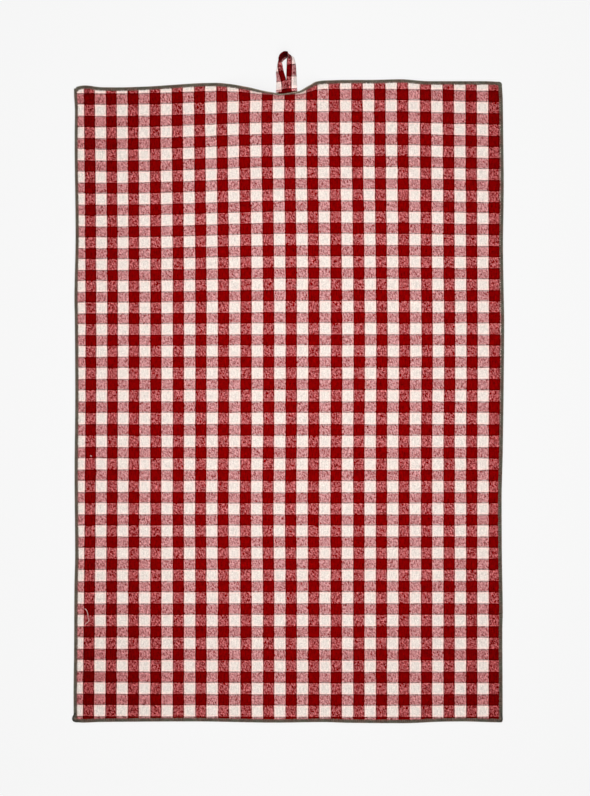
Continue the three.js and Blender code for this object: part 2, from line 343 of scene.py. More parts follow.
@dataclass(frozen=True)
class CheckLayout:
    """Which warp end and weft pick lies at each place of the towel, counted in threads."""

    repeat: int = 55
    red_threads: int = 28
    red_middle: float = 0.25
    across_pitch: float = 24.77
    along_pitch: float = 24.58
    first_column: float = -226.6
    first_row: float = 331.94
    spare_columns: int = 10
    spare_rows: int = 30
    span: float = 2000.0
    strays: tuple[Stray, ...] = (
        Stray(-196, 299, 209, 285, 0.0, 5.3),
        Stray(243, 299, 143, 220, 0.0, 2.4),
        Stray(60, 167, 300, 130, 0.0, -0.7),
        Stray(2, 33, 770, 104, 0.0, -1.3),
        Stray(60, -86, 400, 66, 0.0, 0.5),
        Stray(60, -195, 500, 77, 0.0, -0.7),
        Stray(90, -333, 500, 120, 0.0, 1.2),
        Stray(-240, 68, 104, 527, 3.5, 0.0),
        Stray(13, 353, 285, 253, -2.3, 0.0),
        Stray(-31, -119, 132, 99, -0.8, 0.0),
        Stray(145, 57, 165, 110, 0.7, 0.0),
        Stray(-20, 345, 45, 40, 1.1, 0.0),
    )

    def on_cloth(self, x: float, y: float) -> Pair:
        """Finds the threads that cross at a flat place.

        Args:
            x: Across the flat cloth.
            y: Along the flat cloth.

        Returns:
            The warp end and weft pick, as shares of the span.
        """
        right = sum(stray.right * felt(stray, x, y) for stray in self.strays)
        down = sum(stray.down * felt(stray, x, y) for stray in self.strays)
        ends = (x - right - self.first_column) / self.across_pitch + self.spare_columns
        picks = (y + down - self.first_row) / self.along_pitch + self.spare_rows
        return ends * self.repeat / self.span, picks * self.repeat / self.span

    def redness(self, x: float, y: float, upright: bool) -> float:
        """1 in the middle of a red stripe, 0 in the middle of a white one, and between them elsewhere."""
        threads = self.on_cloth(x, y)[1 if upright else 0] * self.span
        return (1.0 + math.cos(2.0 * math.pi * (threads / self.repeat - self.red_middle))) / 2.0


class Value:
    """A number or colour that flows between nodes, with sums and products written the plain way."""

    def __init__(self, bench: Bench, socket: bpy.types.NodeSocket) -> None:
        """Holds the socket that gives it."""
        self.bench = bench
        self.socket = socket

    def math(self, operation: str, other: Value | float = 0.0) -> Value:
        """Puts it through a Math node."""
        return self.bench.math(operation, self, other)

    def __add__(self, other: Value | float) -> Value:
        """The sum."""
        return self.math("ADD", other)

    def __sub__(self, other: Value | float) -> Value:
        """The difference."""
        return self.math("SUBTRACT", other)

    def __rsub__(self, other: float) -> Value:
        """The difference from a plain number."""
        return self.bench.math("SUBTRACT", other, self)

    def __mul__(self, other: Value | float) -> Value:
        """The product."""
        return self.math("MULTIPLY", other)

    def spread(self, low: float, high: float) -> Value:
        """Stretches a value that runs from 0 to 1 to run from low to high."""
        return self * (high - low) + low


class Bench:
    """Sets out the nodes of one tree and joins them."""

    def __init__(self, tree: bpy.types.NodeTree) -> None:
        """Starts with an empty tree."""
        self.tree = tree
        tree.nodes.clear()

    def add(self, kind: str, inputs: dict | None = None, **settings: object) -> bpy.types.Node:
        """Adds a node.

        Args:
            kind: The node's type name.
            inputs: What goes into its sockets, by name or number: a value, a socket or a plain number.
            settings: The node's own settings.

        Returns:
            The node.
        """
        node = self.tree.nodes.new(kind)
        for name, setting in settings.items():
            setattr(node, name, setting)
        for name, given in (inputs or {}).items():
            source = given.socket if isinstance(given, Value) else given
            if isinstance(source, bpy.types.NodeSocket):
                self.tree.links.new(source, node.inputs[name])
            else:
                node.inputs[name].default_value = source
        return node

    def value(self, kind: str, inputs: dict | None = None, output: int | str = 0,
              **settings: object) -> Value:
        """Adds a node and takes one of its outputs."""
        return Value(self, self.add(kind, inputs, **settings).outputs[output])

    def math(self, operation: str, first: Value | float, second: Value | float = 0.0) -> Value:
        """A Math node of one or two values."""
        return self.value("ShaderNodeMath", {0: first, 1: second}, operation=operation)

    def choose(self, share: Value, first: Value | float, second: Value | float) -> Value:
        """Mixes two numbers by a share."""
        return self.value("ShaderNodeMix", {0: share, 2: first, 3: second})

    def mix(self, share: Value | float, first: Value | Colour, second: Value | Colour,
            blend: str = "MIX") -> Value:
        """Mixes two colours by a share."""
        colours = {0: share, 6: first, 7: second}
        return self.value("ShaderNodeMix", colours, 2, data_type="RGBA", blend_type=blend)

    def tint(self, colour: Value, by: Value) -> Value:
        """Multiplies a colour by another."""
        return self.mix(1.0, colour, by, "MULTIPLY")

    def join(self, x: Value | float, y: Value | float, z: Value | float = 0.0) -> Value:
        """A vector of three values."""
        return self.value("ShaderNodeCombineXYZ", {0: x, 1: y, 2: z})

    def split(self, vector: Value) -> list[Value]:
        """The three values of a vector."""
        return [Value(self, part) for part in self.add("ShaderNodeSeparateXYZ", {0: vector}).outputs]

    def noise(self, vector: Value, scale: float, detail: float = 0.0, output: int | str = 0) -> Value:
        """A noise texture over a vector."""
        return self.value("ShaderNodeTexNoise", {"Vector": vector, "Scale": scale, "Detail": detail}, output)

    def attribute(self, name: str) -> Value:
        """A number that the mesh carries on its points."""
        return self.value("ShaderNodeAttribute", None, "Fac", attribute_name=name)

    def dress(self, colour: Value, shade: Value, relief: dict, gloss: dict) -> None:
        """Ends a material of cloth or thread.

        Args:
            colour: Its colour.
            shade: What its colour is multiplied by.
            relief: The inputs of its Bump node.
            gloss: The shader's plain inputs.
        """
        shaded = self.value("ShaderNodeVectorMath", {0: colour, "Scale": shade}, operation="SCALE")
        lumps = self.value("ShaderNodeBump", relief)
        surface = self.value("ShaderNodeBsdfPrincipled", {"Base Color": shaded, "Normal": lumps, **gloss})
        self.add("ShaderNodeOutputMaterial", {"Surface": surface})


def new_finish(name: str) -> tuple[bpy.types.Material, Bench]:
    """Starts a material.

    Args:
        name: The material's name.

    Returns:
        The material, and the bench for its nodes.
    """
    material = bpy.data.materials.new(name)
    material.use_nodes = True
    return material, Bench(material.node_tree)


class Fleck(NamedTuple):
    """A kind of fleck in the weave: how far it leans off the warp, its two frequencies and its weight."""

    tilt: float
    across: float
    along: float
    weight: float


@dataclass(frozen=True)
class GinghamFinish:
    """A cotton twill check: the warp covers two crossings of three, and the weft shows at the third.

    Frequencies are in turns for each thread, across a thread and then along it.
    """

    name: str
    layout: CheckLayout
    red: Colour = tone(125, 0, 1)
    white: Colour = tone(230, 217, 209)
    warp_by_red: Colour = tone(211, 155, 155)
    weft_by_red: Colour = tone(216, 128, 129)
    red_edge: Colour = (0.70, 1.12, 1.06, 1.0)
    white_edge: Colour = (1.14, 0.985, 0.98, 1.0)
    # The next two tints carry the painted shade towards the towel's edges: red goes darker, pale threads
    # beside red darker and pinker.
    shade_on_red: Colour = (0.0, 0.0, 0.0, 1.0)
    shade_on_pale: Colour = (0.92, 0.2, 0.22, 1.0)
    edge_threads: float = 4.6
    edge_fade: float = 2.4
    crossings: float = 3.0
    wander: float = 0.9
    wander_scale: float = 60.0
    warp_change: float = 6.0
    weft_change: float = 2.6
    thick_places: Pair = (7.31, 0.16)
    fleck_change: float = 3.7
    flecks: tuple[Fleck, ...] = (
        Fleck(0.3, 0.33, 0.13, 1.0), Fleck(-0.2, 0.15, 0.33, 0.5), Fleck(1.0, 0.26, 0.12, 0.7),
    )
    patch_change: float = 1.0
    patch_scale: float = 0.04
    streaks: Pair = (0.38, 0.07)
    red_streak: float = 0.55
    white_streak: float = 0.16
    short_scale: float = 1.7
    short_along: float = 0.2
    red_change: float = 0.9
    white_change: float = 0.5
    groove_shade: float = 0.16
    rounding: float = 0.8
    relief: float = 0.12 * MM
    relief_strength: float = 0.6
    roughness: float = 0.9
    specular: float = 0.01
    sheen: float = 0.008
    sheen_roughness: float = 0.6

    def build(self) -> bpy.types.Material:
        """Makes the material.

        Returns:
            The material, which reads the threads map.
        """
        material, bench = new_finish(self.name)
        place = bench.value("ShaderNodeUVMap", uv_map=THREADS)
        wander = bench.split(bench.noise(place, self.wander_scale, 1.0, "Color"))
        end, pick = (
            part * self.layout.span + stray.spread(-self.wander, self.wander)
            for part, stray in zip(bench.split(place)[:2], wander)
        )
        end_index, pick_index = end.math("FLOOR"), pick.math("FLOOR")
        end_part, pick_part = end.math("FRACT"), pick.math("FRACT")
        warp_red, weft_red = self._is_red(end_index), self._is_red(pick_index)
        step = end_index + pick_index + (end_part + pick_part) * 0.5
        crossing = step.math("FLOORED_MODULO", self.crossings)
        weft_over = crossing.math("LESS_THAN", self._float_reach(end, pick))
        warp = bench.mix(warp_red, bench.mix(weft_red, self.white, self.warp_by_red), self.red)
        weft = bench.mix(weft_red, bench.mix(warp_red, self.white, self.weft_by_red), self.red)
        colour = bench.mix(weft_over, warp, weft)
        for count, is_red in ((end, warp_red), (pick, weft_red)):
            colour = bench.tint(colour, self._edge_tint(count, is_red))
        seen_red = bench.choose(weft_over, warp_red, weft_red)
        # Painted shade on the red, deeper towards the edges and corners, read from the mesh attribute.
        red_shade_share = bench.attribute(SHADE_AND_BESIDE_REDNESS) * warp_red.math("MAXIMUM", weft_red)
        colour = bench.tint(colour, bench.mix(red_shade_share, PLAIN, bench.mix(seen_red, self.shade_on_pale, self.shade_on_red)))
        side = bench.choose(weft_over, end_part, pick_part).spread(-1.0, 1.0)
        hollow = side * side
        # Painted shade: each thread is darker at its sides, in the grooves between threads, and slightly
        # lighter on its crown.
        shade = hollow.spread(1.0 + self.groove_shade / 3.0, 1.0 - 2.0 * self.groove_shade / 3.0)
        # Painted shade from the depth attribute darkens the loop's fold; where the value is below 0 it is
        # painted light.
        shade = shade * self._thread_tone(end, pick, weft_over, seen_red) * (1.0 - bench.attribute(PAINTED_SHADE))
        bench.dress(colour, shade, {
            "Strength": self.relief_strength,
            "Distance": self.relief,
            "Height": 1.0 - hollow * self.rounding,
        }, {
            "Roughness": self.roughness,
            "Specular IOR Level": self.specular,
            "Sheen Weight": self.sheen,
            "Sheen Roughness": self.sheen_roughness,
        })
        return material

    def _is_red(self, index: Value) -> Value:
        """1 where the thread of that number is red."""
        counted = index.math("FLOORED_MODULO", float(self.layout.repeat))
        return counted.math("LESS_THAN", float(self.layout.red_threads))

    def _thickness(self, count: Value, along: Value) -> Value:
        """Makes thick and thin places along each thread.

        Args:
            count: The place across the threads, counted in threads.
            along: The place along them, counted in threads.

        Returns:
            How much thicker the thread is, round 0.
        """
        bench = count.bench
        place = bench.join(count.math("FLOOR") * self.thick_places[0], along * self.thick_places[1])
        return bench.noise(place, 1.0, 1.0) - 0.5

    def _float_reach(self, end: Value, pick: Value) -> Value:
        """How many of three crossings the weft shows at, with flecks along the twill line.

        Args:
            end: The place across the warp, counted in threads.
            pick: The place across the weft, counted in threads.

        Returns:
            The number, near 1.
        """
        bench = end.bench
        reach = (bench.noise(bench.join(end, pick), self.patch_scale) - 0.5) * self.patch_change + 1.0
        for fleck in self.flecks:
            over = (pick * fleck.tilt + end) * fleck.across
            down = (end * -fleck.tilt + pick) * fleck.along
            spot = bench.noise(bench.join(over, down), 1.0) - 0.5
            reach = reach + spot * (fleck.weight * self.fleck_change)
        return (reach + self._thickness(pick, end) * self.weft_change
                - self._thickness(end, pick) * self.warp_change)

    def _edge_tint(self, count: Value, is_red: Value) -> Value:
        """Tints the edge of a stripe: red is deeper there, and white is warmer.

        Args:
            count: The place across the threads, counted in threads.
            is_red: 1 where the thread is red.

        Returns:
            What the colour is multiplied by.
        """
        bench, repeat = count.bench, float(self.layout.repeat)
        counted = count.math("FLOORED_MODULO", repeat)
        nearest = counted.math("MINIMUM", repeat - counted)
        nearest = nearest.math("MINIMUM", (counted - float(self.layout.red_threads)).math("ABSOLUTE"))
        share = (self.edge_threads - nearest).math("DIVIDE", self.edge_fade)
        return bench.mix(share, PLAIN, bench.mix(is_red, self.white_edge, self.red_edge))

    def _thread_tone(self, end: Value, pick: Value, weft_over: Value, is_red: Value) -> Value:
        """Makes each short length of thread slightly lighter or darker, and long streaks too.

        Args:
            end: The place across the warp, counted in threads.
            pick: The place across the weft, counted in threads.
            weft_over: 1 where the weft shows.
            is_red: 1 where the thread that shows is red.

        Returns:
            The tone, round 1.
        """
        bench = end.bench
        warp = bench.noise(bench.join(end.math("FLOOR"), pick * self.short_along), self.short_scale)
        weft = bench.noise(bench.join(end * self.short_along, pick.math("FLOOR")), self.short_scale)
        short = bench.choose(weft_over, warp, weft) - 0.5
        long = bench.noise(bench.join(end * self.streaks[0], pick * self.streaks[1]), 1.0) - 0.5
        short_change = bench.choose(is_red, 2.0 * self.white_change, 2.0 * self.red_change)
        long_change = bench.choose(is_red, 2.0 * self.white_streak, 2.0 * self.red_streak)
        return short * short_change + long * long_change + 1.0


@dataclass(frozen=True)
class ThreadFinish:
    """Fluffy sewing thread, in a tone that shifts from the towel's outline inwards, with a painted highlight
    at the outline.

    Its tone also leans to that of the cloth beside it. The scales are in turns for each metre.
    """

    name: str
    # rim is the painted highlight along the outline, where the edging's top catches the light.
    rim: Colour
    outer: Colour
    inner: Colour
    by_red: Colour = (1.08, 0.93, 0.93, 1.0)
    by_white: Colour = (0.93, 1.06, 1.04, 1.0)
    highlight_reach: float = 0.16
    drift: float = 1.4
    drift_scale: float = 70.0
    patch_change: float = 0.28
    patch_scale: float = 90.0
    stitch_change: float = 0.5
    stitch_scale: float = 420.0
    fibre_change: float = 0.22
    fibre_scale: float = 2600.0
    relief: float = 0.08 * MM
    relief_strength: float = 0.5
    roughness: float = 0.8
    specular: float = 0.12
    sheen: float = 0.05

    @classmethod
    def plain(cls, name: str, colour: Colour) -> ThreadFinish:
        """Thread of one tone all over."""
        return cls(name, colour, colour, colour)

    def build(self) -> bpy.types.Material:
        """Makes the material.

        Returns:
            The material, which reads the across attribute and the one that holds how red the cloth beside it
            is.
        """
        material, bench = new_finish(self.name)
        across = bench.attribute(ACROSS)
        place = bench.value("ShaderNodeTexCoord", None, "Object")
        drift = bench.noise(place, self.drift_scale, 1.0) - 0.5
        colour = bench.mix(drift * self.drift + across, self.outer, self.inner)
        # Painted highlight: the outermost edging, by the outline, takes the lighter rim tone.
        colour = bench.mix(across.math("DIVIDE", self.highlight_reach), self.rim, colour)
        colour = bench.tint(colour, bench.mix(bench.attribute(SHADE_AND_BESIDE_REDNESS), self.by_white, self.by_red))
        patches = bench.noise(place, self.patch_scale, 2.0)
        stitches = bench.noise(place, self.stitch_scale)
        fibres = bench.noise(place, self.fibre_scale, 2.0)
        shade = (patches.spread(1.0 - self.patch_change, 1.0 + self.patch_change)
                 * stitches.spread(1.0 - self.stitch_change, 1.0 + self.stitch_change)
                 * fibres.spread(1.0 - self.fibre_change, 1.0 + self.fibre_change))
        bench.dress(colour, shade, {
            "Strength": self.relief_strength,
            "Distance": self.relief,
            "Height": fibres,
        }, {
            "Roughness": self.roughness,
            "Specular IOR Level": self.specular,
            "Sheen Weight": self.sheen,
        })
        return material


@dataclass
class MeshMaker:
    """Gathers points, faces and what each point or face corner carries, and makes one piece of them."""

    points: list[Vector] = field(default_factory=list)
    faces: list[Face] = field(default_factory=list)
    corner_maps: list[list[Pair]] = field(default_factory=list)
    across: list[float] = field(default_factory=list)
    # depth carries painted shade in the loop's fold, and painted light where it is below 0.
    depth: list[float] = field(default_factory=list)
    # Painted shade on the cloth's red threads; on the edging, how red the cloth beside it is.
    dye: list[float] = field(default_factory=list)

    def join_rings(self, first: int, rings: int, count: int, closed: bool = False) -> None:
        """Joins rings of points, each to the next, and the last to the first where they close.

        Args:
            first: The first ring's first point.
            rings: How many rings there are.
            count: How many points each has.
            closed: Whether the last ring meets the first.
        """
        for ring in range(rings if closed else rings - 1):
            here, there = first + ring * count, first + (ring + 1) % rings * count
            for turn in range(count):
                after = (turn + 1) % count
                self.faces.append((here + turn, here + after, there + after, there + turn))

    def finish(self, name: str, material: bpy.types.Material) -> bpy.types.Object:
        """Makes the piece.

        Args:
            name: The piece's name.
            material: Its finish.

        Returns:
            The object, at the origin, with its place in its mesh.
        """
        mesh = bpy.data.meshes.new(name)
        mesh.from_pydata([point * MM for point in self.points], [], self.faces)
        if self.corner_maps:
            layer = mesh.uv_layers.new(name=THREADS)
            flat = [value for face in self.corner_maps for corner in face for value in corner]
            layer.data.foreach_set("uv", flat)
        for label, values in ((ACROSS, self.across), (PAINTED_SHADE, self.depth), (SHADE_AND_BESIDE_REDNESS, self.dye)):
            if values:
                mesh.attributes.new(label, "FLOAT", "POINT").data.foreach_set("value", values)
        mesh.materials.append(material)
        mesh.shade_smooth()
        mesh.update()
        piece = bpy.data.objects.new(name, mesh)
        bpy.context.collection.objects.link(piece)
        return piece


def add_tube(maker: MeshMaker, path: Sequence[Vector], width: float, thickness: float, sides: int,
             closed: bool, side: Vector, tones: Callable[[Vector], float]) -> None:
    """Adds a thread along a path.

    Args:
        maker: What the thread is added to.
        path: Its centre line, in millimetres.
        width: Its radius along side.
        thickness: Its radius across both the path and side.
        sides: Points round its section.
        closed: Whether its end meets its start.
        side: The direction of its width.
        tones: The across value at a point.
    """
    first = len(maker.points)
    count = len(path)
    for index, centre in enumerate(path):
        before = path[index - 1] if index or closed else centre
        after = path[(index + 1) % count] if index + 1 < count or closed else centre
        forward = (after - before).normalized()
        wide = (side - forward * side.dot(forward)).normalized()
        tall = forward.cross(wide)
        for turn in range(sides):
            angle = 2.0 * math.pi * turn / sides
            point = centre + wide * (width * math.cos(angle)) + tall * (thickness * math.sin(angle))
            maker.points.append(point)
            maker.across.append(tones(point))
    maker.join_rings(first, count, sides, closed)
    if not closed:
        maker.faces.append(tuple(first + turn for turn in reversed(range(sides))))
        maker.faces.append(tuple(first + (count - 1) * sides + turn for turn in range(sides)))


@dataclass
class ClothPanel:
    """The woven panel: a thin sheet with a face and a back, on the solid's own lie."""

    form: ClothForm
    layout: CheckLayout
    finish: GinghamFinish
    thickness: float = 0.8
    wide_step: float = 3.6
    close_step: float = 1.6
    row_step: float = 1.0
    # Painted shade on the red threads, growing from near the middle towards the edges and corners.
    red_shade_centre: Pair = (0.1, 0.07)
    red_shade_rate: float = 0.11
    deepest_red_shade: float = 0.42

    def build(self) -> bpy.types.Object:
        """Makes the panel and sets it in the frame.

        Returns:
            The piece.
        """
        columns, rows = self._columns(), self._rows()
        maker = MeshMaker()
        threads: list[Pair] = []
        for level in (1, -1):
            for column in columns:
                for row in rows:
                    x, y = self.form.flat_place(column, row)
                    height = self.form.lift(x, y) + self.form.middle + level * self.thickness / 2.0
                    maker.points.append(self.form.place(x, y, height))
                    # Painted shade on the red, by place.
                    maker.dye.append(self._red_shade(x, y))
                    threads.append(self.layout.on_cloth(x, y))
        self._add_faces(maker, len(columns), len(rows))
        maker.corner_maps = [[threads[corner] for corner in face] for face in maker.faces]
        piece = maker.finish("cloth_panel", self.finish.build())
        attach(piece, BODY)
        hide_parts("cloth")
        return piece

    def _red_shade(self, x: float, y: float) -> float:
        """How much painted shade darkens the red at a place, more towards the edges and corners than in the
        middle.

        Args:
            x: Across the flat cloth.
            y: Along the flat cloth.

        Returns:
            The share, from 0.
        """
        across = x / self.form.width * 2.0 - self.red_shade_centre[0]
        along = y / self.form.length * 2.0 - self.red_shade_centre[1]
        return min(self.deepest_red_shade, self.red_shade_rate * (across * across + along * along) ** 2)

    def _columns(self) -> list[float]:
        """Sets the grid's columns, closer together where the border stands up.

        Returns:
            Their distances from the left edge.
        """
        middle = self.form.inner_width / 2.0
        stops = (0.0, self.form.fold_from + middle, self.form.fold_to + middle, self.form.inner_width)
        steps = (self.wide_step, self.close_step, self.wide_step)
        return list(stations(stops, steps))

    def _rows(self) -> list[float]:
        """Distances from the bottom edge, closer together on the round that lifts the border."""
        fold = self.form.inner_length - self.form.fold_depth - 2.0 * self.row_step
        return list(stations((0.0, fold, self.form.inner_length), (self.wide_step, self.row_step)))

    def _add_faces(self, maker: MeshMaker, columns: int, rows: int) -> None:
        """Joins the points into the face, the back and the cut rim between them.

        Args:
            maker: What holds the points.
            columns: How many columns the grid has.
            rows: How many rows it has.
        """
        back = columns * rows
        for column in range(columns - 1):
            for row in range(rows - 1):
                a, b = column * rows + row, (column + 1) * rows + row
                maker.faces.append((a, b, b + 1, a + 1))
                maker.faces.append((back + a, back + a + 1, back + b + 1, back + b))
        rim = [column * rows for column in range(columns)]
        rim += [(columns - 1) * rows + row for row in range(1, rows)]
        rim += [column * rows + rows - 1 for column in reversed(range(columns - 1))]
        rim += list(reversed(range(1, rows - 1)))
        for here, there in zip(rim, rim[1:] + rim[:1]):
            maker.faces.append((here, back + here, back + there, there))


def stations(stops: Sequence[float], steps: Sequence[float]) -> Iterator[float]:
    """Places between stops, evenly spaced in each span.

    Args:
        stops: Where the spans begin and end.
        steps: About how far apart the places are in each span.

    Yields:
        Each place, the first and last stop among them.
    """
    yield stops[0]
    for start, end, step in zip(stops, stops[1:], steps):
        count = max(1, round((end - start) / step))
        for index in range(1, count + 1):
            yield start + (end - start) * index / count


class Side(Enum):
    """A side of the towel."""

    LEFT = "left"
    RIGHT = "right"
    BOTTOM = "bottom"
    TOP = "top"

    @property
    def upright(self) -> bool:
        """Whether it runs along the towel."""
        return self in (Side.LEFT, Side.RIGHT)

    @property
    def far(self) -> bool:
        """Whether it is on the side of +X or +Y."""
        return self in (Side.RIGHT, Side.TOP)

    @property
    def axis(self) -> int:
        """The number of the axis that it runs along."""
        return 1 if self.upright else 0


class EdgePoint(NamedTuple):
    """A place on the towel's outline, with the way into the cloth and the way up out of its face."""

    place: Vector
    inward: Vector
    up: Vector


@dataclass
class OverlockEdging:
    """Thread sewn over the raw edge: a band of packed strands under crossing loops, stitch by stitch."""

    form: ClothForm
    layout: CheckLayout
    thread: ThreadFinish
    under_thread: ThreadFinish
    spacing: float = 2.1
    slant: float = 0.95
    seed: int = 7
    size_change: float = 0.05
    turn_change: float = 0.09
    width: float = 4.0
    corner_step: float = 0.5
    side_step: float = 4.0
    fold_step: float = 1.5
    up_reach: float = 0.5
    strand_width: float = 0.46
    strand_thickness: float = 0.21
    strand_sides: int = 5
    crossing_sink: float = 0.1
    needle_radius: float = 0.2
    needle_heights: Pair = (0.56, -0.56)
    needle_path: tuple[Triple, ...] = (
        (-0.5, 3.74, 0.7), (-0.25, 3.8, 1.0), (0.25, 3.8, 1.0), (0.5, 3.74, 0.7),
    )
    tree_inputs: tuple[tuple[str, str], ...] = (
        ("Geometry", "Geometry"), ("Stitch", "Object"), ("Spacing", "Float"), ("Size Change", "Float"),
        ("Turn Change", "Float"), ("Seed", "Int"), ("Thread", "Material"),
    )
    band_section: tuple[Pair, ...] = (
        (0.55, -0.6), (1.9, -0.58), (3.0, -0.54), (3.0, -0.42), (0.9, -0.4), (0.9, 0.4), (3.0, 0.42),
        (3.0, 0.54), (1.9, 0.58), (0.55, 0.6), (0.28, 0.38), (0.16, 0.0), (0.28, -0.38),
    )
    band_ends: tuple[Face, ...] = ((0, 1, 2, 3, 4), (4, 5, 9, 10, 11, 12, 0), (5, 6, 7, 8, 9))
    loop_path: tuple[Triple, ...] = (
        (0.0, 3.72, 0.25), (0.04, 3.52, 0.54), (0.3, 2.5, 0.62), (0.66, 1.2, 0.66), (0.92, 0.28, 0.44),
        (1.0, 0.08, 0.0), (0.92, 0.28, -0.44), (0.66, 1.2, -0.64), (0.3, 2.5, -0.6), (0.04, 3.52, -0.54),
        (0.0, 3.72, -0.25),
    )

    def build(self) -> list[bpy.types.Object]:
        """Makes the edging of all four sides.

        Returns:
            The pieces.
        """
        thread, under = self.thread.build(), self.under_thread.build()
        stitch = self._stitch(thread)
        tree = self._stitch_tree()
        pieces = []
        for side in Side:
            points = self._edge(side)
            band = self._band(side, points, under)
            sewn = self._sew(side, points, stitch, tree, thread)
            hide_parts(f"edging_{side.value}")
            for piece in (band, sewn):
                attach(piece, BODY)
                pieces.append(piece)
        bpy.data.objects.remove(stitch)
        return pieces

    def _edge(self, side: Side) -> list[EdgePoint]:
        """Sets places along one side, from the middle of one corner to the middle of the next.

        Args:
            side: The side.

        Returns:
            The places, in order towards +X or +Y.
        """
        inset, turn = self.form.inset, self.width
        length, depth = self.form.inner_width, self.form.inner_length
        if side.upright:
            length, depth = depth, length
        stops = [-inset, turn, length - turn, length + inset]
        steps = [self.corner_step, self.side_step, self.corner_step]
        if side is Side.TOP:
            stops[2:2] = [length / 2.0 + self.form.fold_from, length / 2.0 + self.form.fold_to]
            steps[2:2] = [self.fold_step, self.side_step]
        outer_level = depth + inset if side.far else -inset
        inner_level = depth + inset - self.width if side.far else self.width - inset
        points = []
        for at in stations(stops, steps):
            held = min(max(at, self.width - inset), length + inset - self.width)
            outer, inner = (at, outer_level), (held, inner_level)
            if side.upright:
                outer, inner = outer[::-1], inner[::-1]
            points.append(self._edge_point(self.form.flat_place(*outer), self.form.flat_place(*inner)))
        return points

    def _edge_point(self, outer: Pair, inner: Pair) -> EdgePoint:
        """Sets a place of the outline on the folded border, half way through the cloth.

        Args:
            outer: The place on the flat cloth.
            inner: The place where the edging over it ends.

        Returns:
            The place and its two directions.
        """
        level = self.form.border_lift + self.form.middle
        here = self.form.place(*outer, level)
        inward = (self.form.place(*inner, level) - here) / self.width
        above = self.form.place(*outer, level + self.up_reach) - here
        return EdgePoint(here, inward, above.normalized())

    def _band(self, side: Side, points: Sequence[EdgePoint],
              material: bpy.types.Material) -> bpy.types.Object:
        """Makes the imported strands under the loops, as one band with a U section.

        Args:
            side: The side that it runs along.
            points: The places along that side.
            material: Its finish.

        Returns:
            The piece.
        """
        maker = MeshMaker()
        count = len(self.band_section)
        beside = self._beside(side)
        for point in points:
            maker.dye.extend([beside.read(point.place[side.axis])] * count)
            for inward, above in self.band_section:
                maker.points.append(point.place + point.inward * inward + point.up * above)
                maker.across.append(inward / self.width)
        maker.join_rings(0, len(points), count)
        for start in (0, (len(points) - 1) * count):
            for arm in self.band_ends:
                face = tuple(start + corner for corner in arm)
                maker.faces.append(face if start else tuple(reversed(face)))
        if side in (Side.LEFT, Side.TOP):
            maker.faces = [tuple(reversed(face)) for face in maker.faces]
        return maker.finish(f"edging_{side.value}_band", material)

    def _beside(self, side: Side) -> Track:
        """How red the cloth is beside each place of one side, which colours the thread over it.

        Args:
            side: The side.

        Returns:
            The redness along that side, by place in millimetres.
        """
        length, depth = self.form.width, self.form.length
        if side.upright:
            length, depth = depth, length
        half = length / 2.0 + self.width
        level = depth / 2.0 if side.far else -depth / 2.0
        rows = []
        for at in stations((-half, half), (self.width / 2.0,)):
            x, y = (level, at) if side.upright else (at, level)
            rows.append((at, self.layout.redness(x, y, side.upright)))
        return Track(rows)

    def _tint(self, mesh: bpy.types.Mesh, side: Side) -> None:
        """Writes on each point of the stitches how red the cloth beside it is.

        Args:
            mesh: The stitches.
            side: The side that they are on.
        """
        beside = self._beside(side)
        values = [beside.read(vertex.co[side.axis] / MM) for vertex in mesh.vertices]
        mesh.attributes.new(SHADE_AND_BESIDE_REDNESS, "FLOAT", "POINT").data.foreach_set("value", values)

    def _stitch(self, material: bpy.types.Material) -> bpy.types.Object:
        """Makes one stitch: two loops that cross on the face and a needle thread along their inner ends.

        Args:
            material: Its finish.

        Returns:
            The stitch, at the origin.
        """
        maker = MeshMaker()
        for lean, height in ((1.0, 1.0), (-1.0, 1.0 - self.crossing_sink)):
            path = [
                Vector((lean * self.slant * (along - 0.5), inward, above * height))
                for along, inward, above in self.loop_path
            ]
            add_tube(maker, path, self.strand_width, self.strand_thickness, self.strand_sides, True,
                     Vector((1.0, 0.0, 0.0)), lambda point: point.y / self.width)
        for height in self.needle_heights:
            path = [
                Vector((along * self.spacing, inward, above * height))
                for along, inward, above in self.needle_path
            ]
            add_tube(maker, path, self.needle_radius, self.needle_radius, self.strand_sides, False,
                     Vector((0.0, 1.0, 0.0)), lambda point: 1.0)
        return maker.finish("stitch", material)

